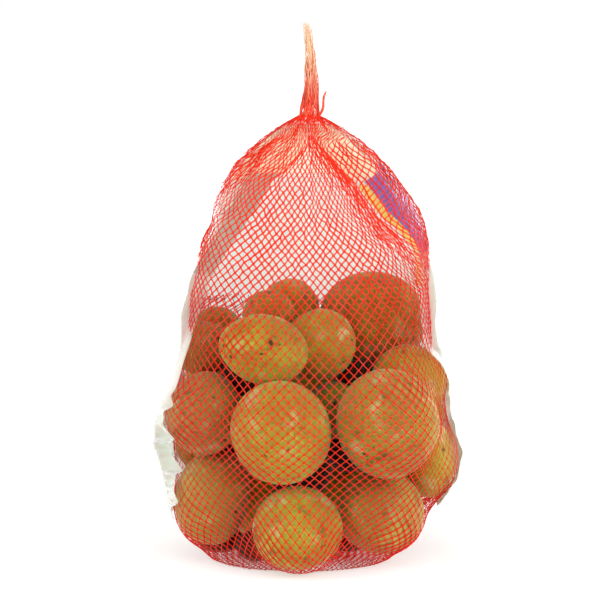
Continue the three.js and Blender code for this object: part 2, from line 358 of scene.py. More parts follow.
potatoLook = {
    "fineness": 28,  # quads along each of the six patches of a potato
    "lumps": 9, "lumpDepth": 2.1, "lumpRise": 0.5, "lumpSpread": (0.06, 0.4),
    "eyes": (6, 11), "eyeSize": (1.3, 2.4), "eyeDepth": (0.5, 1.1), "eyeShow": (0.55, 1.0),
    "eyeWider": 0.45, "eyeRim": 1.6,  # an eye is wider than tall, and its hollow wider than its colour
    "light": linear(179, 198, 64), "deep": linear(168, 172, 46),
    "russet": linear(166, 106, 34), "olive": linear(164, 176, 56), "warmAndShade": linear(148, 76, 0),
    "scuffAndSheen": linear(226, 226, 166), "soil": linear(84, 60, 26), "eye": linear(66, 42, 18),
    "shadow": linear(22, 18, 8), "dusty": linear(166, 130, 88),
    # how warm or dusty a potato is, by kind; the warmth is partly the skin's own browner colour and partly
    # painted shade on the potatoes at the back and sides
    "warmthAndShade": {
        "upper_right": 0.85, "upper_back": 0.75, "upper_small": 0.75, "left_back": 0.8, "left_upper": 0.8,
        "right_upper": 0.5, "right_low": 0.2, "upper_middle": 0.15, "left_middle": 0.5,
    },
    "otherWarmth": (0, 0.12),
    "dust": {
        "left_middle": 0.5, "low_left": 0.45, "low_right": 0.45, "front_right": 0.25, "left_upper": 0.3,
    },
    "paintedShade": {"between": 0.5, "edge": 0.3, "core": 0.97},  # painted shade: potatoes that show only in the gaps between the others are darkened towards the shadow colour, the core ones nearly black
    # patches on the skin: scale, detail, and where a patch begins and is full; then its share of the colour
    "broadPatches": (36.0, 3.0, 0.42, 0.62), "broadShare": 0.62,
    "greenPatches": (75.0, 3.0, 0.48, 0.7), "greenShare": 0.4,
    "finePatches": (520.0, 6.0, 0.35, 0.7), "fineShare": 0.42,
    "scuffAndSheenPatches": (62.0, 6.0, 0.54, 0.76), "scuffAndSheenShare": 0.72, "scuffLost": 0.5,  # partly real scuffs, partly painted sheen; lost on a warm potato
    "soilPatches": (90.0, 6.0, 0.58, 0.72), "soilShare": 0.55,
    "porePatches": (110.0, 2.0, 0.45, 0.6), "poreShare": 0.6, "poreScale": 310.0, "poreSize": (0.12, 0.2),
    "pitScale": 600.0, "pitDetail": 4.0, "pitRagged": 0.4, "pitBounds": (0.62, 0.9), "pitShare": 0.9,
    "roughness": 0.5, "fineRougher": 0.18,
    "soilRelief": 0.5, "poreRelief": -0.6, "bump": 0.5, "bumpDepth": 0.0007,
    "finish": {
        "Specular IOR Level": 0.22, "Sheen Weight": 0.25, "Sheen Roughness": 0.45,
        "Sheen Tint": (1, 0.95, 0.82, 1),
    },
}


def cubeSphere(count):
    grid = np.tan((np.arange(count + 1) / count - 0.5) * math.pi / 2)
    u, w = np.meshgrid(grid, grid)
    ones = np.ones_like(u)
    sides = [(ones, u, w), (-ones, -u, w), (-u, ones, w), (u, -ones, w), (u, w, ones), (u, -w, -ones)]
    points, quads, maps = [], [], []
    index = np.arange((count + 1) ** 2).reshape(count + 1, count + 1)
    place = np.linspace(mapMargin, 1 - mapMargin, count + 1)
    for side, (x, y, z) in enumerate(sides):
        points.append(unit(np.stack([x, y, z], -1)).reshape(-1, 3))
        quads.append(gridQuads(index) + side * (count + 1) ** 2)
        s, t = np.meshgrid(place, place)
        maps.append(np.stack([(s + side % 3) / 3, (t + side // 3) / 2], -1).reshape(-1, 2))
    points, quads, maps = np.concatenate(points), np.concatenate(quads), np.concatenate(maps)
    # where two patches meet, their points become one
    keep, back = np.unique(np.round(points, 6), axis=0, return_inverse=True)
    return keep, back.reshape(-1)[quads], maps[quads.ravel()]


sphereDirections, sphereQuads, sphereMap = cubeSphere(potatoLook["fineness"])


def potatoShape(potato):
    look = potatoLook
    half = np.array(potato["half"], float)
    outward = unit(sphereDirections / half)
    surface = sphereDirections * half
    change = np.zeros(len(surface))
    for lump in range(look["lumps"]):
        centre = unit(draw.normal(size=3))
        height = draw.uniform(-look["lumpDepth"], look["lumpRise"])
        change += height * np.exp((sphereDirections @ centre - 1) / draw.uniform(*look["lumpSpread"]))
    change = np.minimum(change, look["lumpRise"])
    eye = np.zeros(len(surface))
    for spot in range(draw.integers(*look["eyes"])):
        centre = unit(draw.normal(size=3))
        size = draw.uniform(*look["eyeSize"])
        sideways = unit(np.cross(centre, draw.normal(size=3)))
        away = surface - centre * half
        stretch = away - look["eyeWider"] * (away @ sideways)[:, None] * sideways
        distance = np.linalg.norm(stretch, axis=1) / size
        change -= draw.uniform(*look["eyeDepth"]) * np.exp(-((distance / look["eyeRim"]) ** 2))
        eye = np.maximum(eye, np.exp(-(distance ** 2)) * draw.uniform(*look["eyeShow"]))
    surface = (surface + outward * change[:, None]) @ tiltMatrix(potato["tilt"]).T
    return surface + np.array(potato["at"]), eye


def potatoSkin():
    look = potatoLook
    material, tree, shader = newMaterial("potatoSkin")
    place = addNode(tree, "ShaderNodeTexCoord").outputs["Object"]

    def patches(label):
        return clouds(tree, place, *look[label])

    def lay(colour, mask, share, ink):  # an ink over the skin where the mask is, at most by this share
        return mixColour(tree, calculate(tree, "MULTIPLY", mask, share), colour, look[ink])

    colour = mixColour(tree, readValue(tree, "tone"), look["light"], look["deep"])
    # warmer brown: partly the skin's own colour, partly painted shade
    warmAndShade = readValue(tree, "warmAndShade")
    colour = mixColour(tree, warmAndShade, colour, look["warmAndShade"])
    colour = lay(colour, patches("broadPatches"), look["broadShare"], "russet")
    colour = lay(colour, patches("greenPatches"), look["greenShare"], "olive")
    colour = mixColour(tree, readValue(tree, "dust"), colour, look["dusty"])
    fine = patches("finePatches")
    colour = lay(colour, fine, look["fineShare"], "russet")
    # pale patches: partly real scuffs, partly painted sheen
    worn = calculate(tree, "MULTIPLY_ADD", warmAndShade, -look["scuffLost"], look["scuffAndSheenShare"])
    colour = lay(colour, patches("scuffAndSheenPatches"), worn, "scuffAndSheen")
    soil = patches("soilPatches")
    colour = lay(colour, soil, look["soilShare"], "soil")
    dots = addNode(tree, "ShaderNodeTexVoronoi", Scale=look["poreScale"])
    tree.links.new(place, dots.inputs["Vector"])
    pore = ramp(tree, dots.outputs["Distance"], *look["poreSize"], 1.0, 0.0)
    pore = calculate(tree, "MULTIPLY", pore, patches("porePatches"))
    colour = lay(colour, pore, look["poreShare"], "soil")
    ragged = addNode(tree, "ShaderNodeTexNoise", Scale=look["pitScale"], Detail=look["pitDetail"])
    tree.links.new(place, ragged.inputs["Vector"])
    pit = calculate(tree, "MULTIPLY_ADD", ragged.outputs["Fac"], look["pitRagged"], readValue(tree, "eye"))
    colour = lay(colour, ramp(tree, pit, *look["pitBounds"]), look["pitShare"], "eye")
    # painted shade: the gap potatoes are mixed towards the shadow colour
    colour = mixColour(tree, readValue(tree, "paintedShade"), colour, look["shadow"])
    tree.links.new(colour, shader.inputs["Base Color"])
    roughness = calculate(tree, "MULTIPLY_ADD", fine, look["fineRougher"], look["roughness"])
    tree.links.new(roughness, shader.inputs["Roughness"])
    relief = calculate(tree, "MULTIPLY_ADD", soil, look["soilRelief"], fine)
    relief = calculate(tree, "MULTIPLY_ADD", pore, look["poreRelief"], relief)
    addBump(tree, shader, relief, look["bump"], look["bumpDepth"])
    setFinish(shader, look["finish"])
    return material


skin = potatoSkin()
for potato in potatoList:
    points, eye = potatoShape(potato)
    kind = potato["kind"]
    marks = {
        "tone": draw.uniform(0, 1),
        "warmAndShade": potatoLook["warmthAndShade"].get(kind, draw.uniform(*potatoLook["otherWarmth"])),
        "dust": potatoLook["dust"].get(kind, 0.0),
        # painted shade share, for potatoes that show only in the gaps
        "paintedShade": potatoLook["paintedShade"].get(kind.split("_")[0], 0.0),
    }
    values = {label: np.full(len(points), number) for label, number in marks.items()}
    piece = makePiece("potato_" + kind, points, sphereQuads, skin, {"eye": eye, **values}, sphereMap)
print("potatoes made:", len(potatoList))

# the net's strands

strandLook = {
    "around": 86,  # diamonds round the net
    "lowSide": 4.7, "highSide": 3.8,  # length of a diamond's side over the potatoes and above them
    "highFrom": 158, "highTo": 215,  # heights between which the one turns into the other
    "leastRise": 0.5,  # least height of half a diamond, as a share of its side
    "sideCrowd": -0.4,  # below 0 the strands lie wider apart at the sides of the empty part
    "start": 0.06,  # level of the lowest row
    "fineRows": 1600, "fineColumns": 144, "ringSteps": 361,  # steps that the rows are measured with
    "gatherRows": 84, "gatherColumns": 1081, "foldFade": 0.6, "closeSoft": 0.15,
    "slides": 24, "slideShare": 0.5,
    # how far joints stray, less at the floor and more between two drops below the neck
    "jitter": 0.14, "floorJitter": (3, 10), "highJitter": 0.2, "jitterTop": (2, 20), "jitterFoot": (130, 90),
    # how far the empty part's surface strays, in waves round the net
    "slack": 0.9, "slackWaves": 9, "slackTurns": (3, 17), "slackSlant": 0.16, "slackBounds": (-1, 2),
    "slackTop": (3, 20), "slackFoot": (110, 70),
    "sink": 0.35, "cross": 0.1,  # how deep joints lie in the surface, and one family's lift over the other
    "jointRadius": 0.52, "strandRadius": 0.38, "sides": 4,
    "plainGap": 4.4, "slimmest": 0.6,  # strands closer together than this gap are thinner
    "highThicker": 0.5, "thickFront": (0.4, 0.8),  # at the front of the empty part
    "sideThinner": 0.62, "sideFacing": (0.6, 0.95),  # where the net faces sideways
    "bunch": 0.8, "bunchFoot": (140, 160), "bunchTop": (240, 215),  # less so where strands bunch at the film
    "footThinner": 0.35, "footZone": (16, 4), "neckThinner": 0.4, "neckZone": (276, 292),
    # off the potatoes by this much, strands get painted shade, nearly as deep in colour as at a joint, and
    # are thinner
    "hollow": (2, 8), "hollowShade": 0.8, "hollowTop": (185, 165),
    "hollowThinner": 0.12, "hollowFoot": (8, 30),
    "joint": linear(212, 20, 0), "middle": linear(255, 46, 1), "pale": linear(255, 224, 182),
    # painted light: highPaintedLight makes the strands above the potatoes brighter, by this share between the
    # palerFrom heights
    "plainDeep": 0.5, "highPaintedLight": 0.38, "palerFrom": (190, 225), "toneMost": 0.05,
    "finish": {"Roughness": 0.45, "Specular IOR Level": 0.1},
    "openTurn": 8, "openFoot": 172, "openTop": 288,  # behind this turn film closes the upper part alone
    "pieces": {"net_low": (0, 0.34), "net_middle": (0.34, 0.67), "net_upper": (0.67, 1)},  # shares of rows
}

# folds: drops below the neck in mm and the angle from the front there, right positive; "crowd" is how
# many more strands lie in a fold, "spread" how far it reaches to its left and right, in degrees
foldList = [
    {"drops": (8, 13, 27, 40, 62, 74, 87, 100, 156), "turns": (2, 9, 29, 39, 48, 56, 63, 67, 67),
     "crowd": 8.0, "spread": (8, 1.3), "start": (7, 19), "end": 122, "rise": 1.2},
    {"drops": (6, 14, 23, 31, 38, 50), "turns": (-28, -52, -65, -71, -74, -75),
     "crowd": 4.8, "spread": (5, 12), "start": (6, 18), "end": 70, "rise": 1.0},
    {"drops": (16, 22, 28, 35, 41), "turns": (2, -7, -19, -28, -35),
     "crowd": 2.2, "spread": (3.5, 3.5), "start": (9, 21), "end": 50, "rise": 0.8},
    {"drops": (30, 80), "turns": (3, 6),
     "crowd": 1.2, "spread": (3, 3), "start": (2, 14), "end": 85, "rise": 0.4},
    {"drops": (84, 100, 156), "turns": (72, 78, 80),
     "crowd": 2.4, "spread": (4, 4), "start": (30, 120), "end": 205, "rise": 0.3},
    {"drops": (70, 100, 156), "turns": (-74, -77, -79),
     "crowd": 1.6, "spread": (4, 4), "start": (30, 120), "end": 205, "rise": 0.3},
]
# wide parts of the empty net where the strands lie closer, as from and to angles from the front
closeList = [
    {"from": -60, "to": 60, "crowd": 0.2, "start": (10, 50), "end": (112, 60)},
    {"from": 62, "to": 120, "crowd": 0.4, "start": (10, 50), "end": (104, 60)},
]


def latticeLevels():
    look = strandLook
    fine = np.linspace(look["start"], 2, look["fineRows"])
    ring = np.arange(look["fineColumns"]) * 2 * math.pi / look["fineColumns"]
    points = netPoint(fine[:, None], ring[None, :])
    around = np.linalg.norm(np.roll(points, -1, 1) - points, axis=-1).sum(1)
    along = np.linalg.norm(np.diff(points, axis=0), axis=-1).mean(1)
    height = points[..., 2].mean(1)
    high = smooth(height, look["highFrom"], look["highTo"])
    side = look["lowSide"] + (look["highSide"] - look["lowSide"]) * high
    spread = around / (2 * look["around"])
    spacing = np.sqrt(np.maximum(side ** 2 - spread ** 2, (look["leastRise"] * side) ** 2))
    rows = np.concatenate([[0], np.cumsum(along / spacing[1:])])
    count = int(round(rows[-1]))
    return np.interp(np.arange(count + 1) * rows[-1] / count, rows, fine)


def ringTurns(levels, shares):  # angles that share out each ring's length, starting from the front
    look = strandLook
    ring = np.linspace(-0.5, 1.5, look["ringSteps"]) * math.pi
    points = netPoint(levels[:, None], ring[None, :])
    step = np.linalg.norm(np.diff(points, axis=1), axis=-1)
    high = smooth(points[:, 1:, 2], look["highFrom"], look["highTo"])
    step = step * (1 + look["sideCrowd"] * high * np.cos(ring[1:]) ** 2)
    length = np.concatenate([np.zeros((len(levels), 1)), np.cumsum(step, axis=1)], axis=1)
    return np.array([np.interp(share * line[-1], line, ring) for share, line in zip(shares, length)])


def foldPlace(fold, drop, turn):  # how near a fold, 0 to 1
    centre = np.radians(np.interp(drop, fold["drops"], fold["turns"]) - 90)
    away = wrapTurn(turn - centre)
    wide = np.radians(np.where(away < 0, *fold["spread"]))
    fade = smooth(drop, fold["end"], strandLook["foldFade"] * fold["end"]) * smooth(drop, *fold["start"])
    return fade * np.exp(-np.abs(away) / wide)


def crowding(drop, turn):  # how closely the strands lie
    soft = strandLook["closeSoft"]
    crowd = np.ones((drop.size, turn.size))
    for fold in foldList:
        crowd = crowd + fold["crowd"] * foldPlace(fold, drop, turn)
    for part in closeList:
        middle = np.radians((part["from"] + part["to"]) / 2 - 90)
        half = np.radians((part["to"] - part["from"]) / 2)
        away = np.abs(wrapTurn(turn - middle))
        fade = smooth(drop, *part["end"]) * smooth(drop, *part["start"])
        crowd = crowd + part["crowd"] * smooth(away, half + soft, half - soft) * fade
    return crowd


def gather(drop, turn):  # turns each strand towards the folds and the parts where strands lie closer
    look = strandLook
    lap, first, front = 2 * math.pi, -1.5 * math.pi, -0.5 * math.pi
    drops = np.linspace(0, climbHeight, look["gatherRows"])
    ring = np.linspace(-1.5, 0.5, look["gatherColumns"]) * math.pi
    crowd = crowding(drops[:, None], ring[None, :])
    step = (crowd[:, 1:] + crowd[:, :-1]) / 2
    share = np.concatenate([np.zeros((drops.size, 1)), np.cumsum(step, axis=1)], axis=1)
    share = share / share[:, -1:] * lap + first
    # the strands at the front middle stay there at every height, so their diamonds stay upright
    laps = np.concatenate([ring - lap, ring, ring + lap])
    turned = []
    for line in share:
        line = line + front - np.interp(front, ring, line)
        turned.append(np.interp(ring, np.concatenate([line - lap, line, line + lap]), laps))
    row = np.clip(drop / climbHeight, 0, 1) * (drops.size - 1)
    column = (turn - first) % lap / lap * (ring.size - 1)
    return readGrid(np.array(turned), row, column)


def slackRise(drop, turn):  # how far the empty part's surface strays, and its folds stand up
    look = strandLook
    rise = np.zeros_like(drop)
    for wave in range(look["slackWaves"]):
        phase = draw.uniform(0, 2 * math.pi)
        turns, slant = draw.integers(*look["slackTurns"]), draw.normal() * look["slackSlant"]
        rise += np.sin(turns * turn + slant * drop + phase) / math.sqrt(look["slackWaves"])
    rise = look["slack"] * np.clip(rise, *look["slackBounds"])
    rise = rise * smooth(drop, *look["slackFoot"]) * smooth(drop, *look["slackTop"])
    for fold in foldList:
        rise += fold["rise"] * foldPlace(fold, drop, turn)
    return rise


def lattice():
    look = strandLook
    levels = latticeLevels()
    row = np.arange(len(levels))[:, None]
    odd = row % 2
    column = np.arange(look["around"])[None, :]
    angle = ringTurns(levels, (column + 0.5 * odd) / look["around"])
    points = netPoint(levels[:, None] + 0 * angle, angle)
    inner = row[1:-1]
    right = ((column + odd) % look["around"])[1:-1]
    left = ((column + odd - 1) % look["around"])[1:-1]
    for slide in range(look["slides"]):  # joints slide over the shape until the sides even out
        mean = (points[inner + 1, right] + points[inner + 1, left]
                + points[inner - 1, right] + points[inner - 1, left]) / 4
        moved = points[1:-1] + look["slideShare"] * (mean - points[1:-1])
        level, turn = levelAndAngle(moved)
        points[1:-1] = netPoint(np.clip(level, look["start"], 2), turn)
    level, turn = levelAndAngle(points)
    level[0], level[-1] = levels[0], levels[-1]
    drop = dropAt(level)
    turn = gather(drop, turn)
    rise = slackRise(drop, turn)
    high = smooth(drop, *look["jitterFoot"]) * smooth(drop, *look["jitterTop"])
    jitter = draw.normal(size=points.shape) * (look["jitter"] + look["highJitter"] * high)[..., None]
    jitter = jitter * smooth(points[..., 2], *look["floorJitter"])[..., None]
    points = netPoint(level, turn, rise - look["sink"]) + jitter
    outward = unit(np.cross(np.roll(points, -1, 1) - np.roll(points, 1, 1), np.gradient(points, axis=0)))
    plain = unit(points * np.array([1, 1, 0]))
    outward = np.where((outward * plain).sum(-1, keepdims=True) < 0, -outward, outward)
    gap = np.linalg.norm(np.roll(points, -1, 1) - points, axis=-1)
    slim = np.clip((gap + np.roll(gap, 1, 1)) / 2 / look["plainGap"], look["slimmest"], 1)
    return points, outward, slim


def tubes(paths, outward, radii, sides):
    strands, count = paths.shape[:2]
    along = unit(np.gradient(paths, axis=1))
    across = unit(np.cross(along, outward))
    out = np.cross(across, along)
    ring = (np.arange(sides) + 0.5) * 2 * math.pi / sides
    offset = np.cos(ring)[:, None] * out[:, :, None, :] + np.sin(ring)[:, None] * across[:, :, None, :]
    points = paths[:, :, None, :] + radii[..., None, None] * offset
    index = np.arange(strands * count * sides).reshape(strands, count, sides)
    turned = np.roll(index, -1, 2)
    quads = np.stack([index[:, :-1], turned[:, :-1], turned[:, 1:], index[:, 1:]], -1).reshape(-1, 4)
    return points.reshape(-1, 3), quads


def strandMap(joint, tone, sides):  # a strand's colour by how deep it is, near a joint or as painted shade over a hollow, and how pale
    span, step = 1 - 2 * mapMargin, mapMargin / sides
    lane = span * tone[..., None] + step * np.arange(sides)
    near = np.broadcast_to(mapMargin + span * joint[..., None], lane.shape)
    u = np.stack([near[:, :-1], near[:, :-1], near[:, 1:], near[:, 1:]], -1)
    w = np.stack([lane[:, :-1], lane[:, :-1] + step, lane[:, 1:] + step, lane[:, 1:]], -1)
    return np.stack([u, w], -1).reshape(-1, 2)


def netPlastic():
    look = strandLook
    material, tree, shader = newMaterial("netPlastic")
    colour = mixColour(tree, readValue(tree, "joint"), look["middle"], look["joint"])
    colour = mixColour(tree, readValue(tree, "tone"), colour, look["pale"])
    tree.links.new(colour, shader.inputs["Base Color"])
    setFinish(shader, look["finish"])
    return material


netMaterial = netPlastic()
joints, jointOut, jointSlim = lattice()
rowCount = len(joints) - 1
print("net rows:", rowCount, "strands:", 2 * strandLook["around"])


def between(values):  # a value half way between each two along a strand
    full = np.empty((values.shape[0], 2 * values.shape[1] - 1) + values.shape[2:])
    full[:, 0::2], full[:, 1::2] = values, (values[:, 1:] + values[:, :-1]) / 2
    return full


def strandPaths(first, last):  # both leaning families, with a point at each joint and one between
    look = strandLook
    rows = np.arange(first, last + 1)
    strand = np.arange(look["around"])[:, None]
    families = [(strand + rows // 2, look["cross"]), (strand - (rows + 1) // 2, -look["cross"])]
    paths, outs, slims = [], [], []
    for column, lift in families:
        column = column % look["around"]
        out = jointOut[rows, column]
        paths.append(between(joints[rows, column] + lift * out))
        outs.append(unit(between(out)))
        slims.append(between(jointSlim[rows, column]))
    return np.concatenate(paths), np.concatenate(outs), np.concatenate(slims)


strandTone = draw.uniform(0, strandLook["toneMost"], 2 * strandLook["around"])


def strandPiece(name, paths, outs, radii, joint, tone, sides):
    look = strandLook
    points, quads = tubes(paths, outs, radii, sides)
    uv = strandMap(joint, tone, sides).reshape(-1, 4, 2)
    turn = np.degrees(np.arctan2(paths[..., 1], np.abs(paths[..., 0])))
    height = paths[..., 2]
    bare = (turn > look["openTurn"]) & (height > look["openFoot"]) & (height < look["openTop"])
    kept = np.repeat(~(bare[:, 1:] & bare[:, :-1]).ravel(), sides)
    used, quads = np.unique(quads[kept], return_inverse=True)
    values = {"joint": np.repeat(joint.ravel(), sides)[used], "tone": np.repeat(tone.ravel(), sides)[used]}
    quads, uv = quads.reshape(-1, 4), uv[kept].reshape(-1, 2)
    piece = makePiece(name, points[used], quads, netMaterial, values, uv)
    return piece


def offPotatoes(points):  # how far points lie off the nearest potato
    least = np.full(points.shape[:-1], np.inf)
    for potato in potatoList:
        share = (points - np.array(potato["at"])) @ tiltMatrix(potato["tilt"]) / np.array(potato["half"])
        least = np.minimum(least, (np.linalg.norm(share, axis=-1) - 1) * min(potato["half"]))
    return least


def netPiece(name, first, last):
    look = strandLook
    paths, outs, slims = strandPaths(first, last)
    strands, count = paths.shape[:2]
    x, y, z = paths[..., 0], paths[..., 1], paths[..., 2]
    joint = np.broadcast_to((np.arange(count) % 2 == 0).astype(float), (strands, count))
    front = smooth(-y / np.hypot(x, y), *look["thickFront"]) * smooth(z, look["highFrom"], look["highTo"])
    bunched = look["bunch"] * smooth(z, *look["bunchFoot"]) * smooth(z, *look["bunchTop"])
    sideways = smooth(np.abs(outs[..., 0]), *look["sideFacing"]) * (1 - bunched)
    foot, neck = smooth(z, *look["footZone"]), smooth(z, *look["neckZone"])
    hollow = smooth(offPotatoes(paths), *look["hollow"]) * smooth(z, *look["hollowTop"])
    radii = look["strandRadius"] + (look["jointRadius"] - look["strandRadius"]) * joint
    radii = radii * slims * (1 + look["highThicker"] * front)
    radii = radii * (1 - look["sideThinner"] * sideways)
    radii = radii * (1 - look["footThinner"] * foot - look["neckThinner"] * neck)
    radii = radii * (1 - look["hollowThinner"] * hollow * smooth(z, *look["hollowFoot"]))
    tone = np.broadcast_to(strandTone[:, None], (strands, count))
    # painted shade: over the hollows between potatoes a strand takes nearly a joint's deeper colour
    deep = look["plainDeep"] + (1 - look["plainDeep"]) * np.maximum(joint, look["hollowShade"] * hollow)
    # painted light: strands of the empty upper part are made brighter
    deep = deep * (1 - look["highPaintedLight"] * smooth(z, *look["palerFrom"]))
    return strandPiece(name, paths, outs, radii, deep, tone, look["sides"])


for name, (low, high) in strandLook["pieces"].items():
    netPiece(name, round(rowCount * low), round(rowCount * high))
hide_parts("net_bag")
print("net made")

# the gathered tail

tailLook = {
    "strands": 104, "points": 34, "sides": 3, "radius": 0.36, "taper": 0.35,
    "top": 365, "short": 44, "shortPower": 1.3,  # strands end up to this far short of the top
    "overlap": 1,  # how far they start below the neck
    # radius of the bundle, and the shares of its height over which it changes
    "neck": 6.2, "middle": 4.0, "tip": 2.4, "middleRise": (0, 0.55), "tipRise": (0.35, 0.95),
    "depth": (0.1, 1), "depthRise": (0, 0.2),  # strands at the neck lie outside, and then fill the bundle
    "twist": (0.5, 1.6), "sway": 0.25, "swayTurns": 9, "flutes": 7, "fluteDepth": 0.12,
    "wander": 0.55, "wanderTurns": (8, 22), "wanderRise": (0, 0.15), "phase": (0, 6),
    "bow": 1.5, "lean": -1.5, "leanPower": 3, "frayLength": 9, "fraySpread": 2.25,
    "jointMean": 0.3, "jointChange": 0.3, "jointTurns": 60,
    # paler up the tail: partly the strands' own paler colour, partly painted light for light passing through
    # the translucent strands
    "paleLow": 0.1, "paleHigh": 0.8, "paleRise": (0.05, 0.8), "paleChange": (-0.1, 0.15),
    # a few strands that stick out beside the neck
    "looseFrom": (6.0, -4.0, 302), "looseTo": (11.6, -5.0, 319), "looseCount": 5, "looseBow": 0.9,
    "looseSpread": (0.7, 0.7, 1.5), "loosePower": 0.6, "looseRadius": 0.4, "looseTaper": 0.6,
    "looseJoint": 0.4, "loosePale": 0.12,
}


def tailStrands():
    look = tailLook
    each = (look["strands"], 1)
    neckHeight = netShape["neckHeight"]
    foot = neckHeight - look["overlap"]
    share = np.linspace(0, 1, look["points"])[None, :]
    top = look["top"] - look["short"] * draw.random(each) ** look["shortPower"]
    height = foot + share * (top - foot)
    rise = (height - neckHeight) / (look["top"] - neckHeight)
    radius = look["neck"] + (look["middle"] - look["neck"]) * smooth(rise, *look["middleRise"])
    radius = radius + (look["tip"] - radius) * smooth(rise, *look["tipRise"])
    depth = np.sqrt(draw.uniform(*look["depth"], each))
    depth = 1 + (depth - 1) * smooth(rise, *look["depthRise"])
    way = np.where(np.arange(look["strands"])[:, None] < look["strands"] // 2, 1, -1)
    twist = way * draw.uniform(*look["twist"], each)
    start = draw.uniform(0, 2 * math.pi, each)
    sway = look["sway"] * np.sin(look["swayTurns"] * rise + draw.uniform(*look["phase"], each))
    angle = start + twist * rise + sway
    out = radius * depth * (1 + look["fluteDepth"] * np.cos(look["flutes"] * angle))
    stray = []
    for axis in "xy":
        turns = draw.uniform(*look["wanderTurns"], each)
        stray.append(np.sin(turns * rise + draw.uniform(*look["phase"], each)))
    stray = look["wander"] * np.array(stray) * smooth(rise, *look["wanderRise"])
    fray = look["fraySpread"] * smooth(height, look["top"] - look["frayLength"], look["top"])
    splay = draw.normal(size=each) * fray, draw.normal(size=each) * fray
    climbed = np.clip(rise, 0, 1)
    middle = look["bow"] * np.sin(math.pi * climbed) + look["lean"] * climbed ** look["leanPower"]
    x = middle + out * np.cos(angle) + splay[0] + stray[0]
    y = out * np.sin(angle) + splay[1] + stray[1]
    paths = np.stack([x, y, height], -1)
    outward = np.stack([np.cos(angle), np.sin(angle), 0 * angle], -1)
    thick = look["radius"] * (1 - look["taper"] * rise)
    joint = look["jointMean"] + look["jointChange"] * np.sin(share * look["jointTurns"] + start)
    # partly painted light: the strands grow paler up the tail
    pale = look["paleLow"] + (look["paleHigh"] - look["paleLow"]) * smooth(rise, *look["paleRise"])
    pale = np.clip(pale + draw.uniform(*look["paleChange"], each), 0, 1)
    return paths, outward, thick, joint, pale


def looseStrands():
    look = tailLook
    share = np.linspace(0, 1, look["points"])[None, :, None]
    spread = draw.normal(size=(look["looseCount"], 1, 3)) * np.array(look["looseSpread"])
    start, end = np.array(look["looseFrom"]), np.array(look["looseTo"])
    bow = np.array([look["looseBow"], 0, 0]) * np.sin(2 * math.pi * share)
    paths = start + (end - start) * share + bow + spread * np.sin(math.pi * share) ** look["loosePower"]
    shape = paths.shape[:2]
    outward = np.broadcast_to(np.array([0.0, -1.0, 0.0]), paths.shape)
    thick = np.broadcast_to(look["looseRadius"] * (1 - look["looseTaper"] * share[..., 0] ** 2), shape)
    return paths, outward, thick, np.full(shape, look["looseJoint"]), np.full(shape, look["loosePale"])


bundle = [np.concatenate(parts) for parts in zip(tailStrands(), looseStrands())]
netTail = strandPiece("net_tail_strands", *bundle, tailLook["sides"])
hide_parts("net_tail")
print("tail made")

# film bands

filmLook = {
    "gap": 1.6, "thickness": 0.25, "top": 297, "footAngle": 34, "rows": 220, "columns": 56,
    "frontCrowd": 1.4,  # above 1 the columns lie closer at the front edge
    "seam": 0.2,  # half the gap between the two bands behind
    "passes": 120,  # how often it is drawn straighter over the bumps of the net
    "tuck": 4.4, "tuckFrom": 185, "tuckTo": 212,  # how far it slips under the net, and where
    "tuckRise": 30, "riseTurn": (-25, 0),  # how much higher it goes under at the sides and behind
    "lap": {"left": 45, "right": 65}, "lapWidth": (14, 5),  # how much lower the net laps over a front edge
    "swell": (11, 42),  # degrees behind the front edge where it stands off most, and lies flat again
    # the loose front edge's wave: how deep in degrees, how long in mm, and what makes it uneven
    "scallop": {"left": 4.4, "right": 2.0}, "scallopLength": {"left": 21.0, "right": 16.0},
    "scallopFrom": 128, "scallopFade": 20,
    "large": 0.75, "sway": 0.6, "swayLength": 23, "phase": 3.4,
    "small": 0.4, "smallTurns": 1.7, "smallLength": 31,
    "ruffle": 0.9, "ruffleReach": 5,
    "crinkle": 0.2, "creases": 16, "creaseAcross": 9, "creaseAlong": 55,
    "creasePhase": (0, 6), "creaseFade": 30,
    "white": {"left": linear(240, 247, 239), "right": linear(244, 249, 242)},
    "shade": {"left": linear(232, 231, 221), "right": linear(238, 240, 232)},
    "behind": linear(227, 236, 229), "shadeBehindFrom": (40, 80),  # painted shade: a cooler, greyer white this far behind the front edge, for the band's shaded back part
    "cream": linear(250, 246, 226), "creamFade": 4,
    "shadeGrey": linear(202, 200, 186), "purple": linear(154, 124, 192),
    "yellow": linear(252, 224, 130), "paleYellow": linear(250, 234, 176),
    "printStart": -1, "crisp": 0.4,  # where the print begins at the front edge, and half its edges' blur
    # painted shade: a grey strip behind the left band's front edge stands for its shaded inner side
    "shadeWidth": 20, "shadeTop": 266, "shadeFoot": 198,
    "stripeWidth": 6.5, "stripeFoot": 214, "paleFoot": 190,
    "purpleTop": 258, "purpleSlant": 0.34, "purpleFoot": 212, "purpleWidth": 46,
    "haze": (30.0, 4.0, 0.4, 0.68), "wrinkle": (180.0, 3.0, 0.3, 0.7), "bump": 0.12, "bumpDepth": 0.0008,
    "finish": {"Roughness": 0.45, "Transmission Weight": 0.8, "IOR": 1.1},
}

# heights with the turn of a band's edge from straight sideways, in degrees, backwards positive
filmFront = {
    "left": [
        (33, -16), (60, -19), (88, -20), (107, -20), (120, -23), (136, -18), (165, -17), (177, -20),
        (193, -23), (217, -31), (243, -43), (262, -50), (281, -80), (297, -86),
    ],
    "right": [
        (33, -14), (60, -8), (74, -3), (90, -4), (110, -6), (136, -8), (147, -16), (216, -20), (241, -36),
        (258, -42), (276, -56), (290, -77), (297, -86),
    ],
}
filmBack = [(33, 22), (70, 26), (175, 90), (297, 90)]

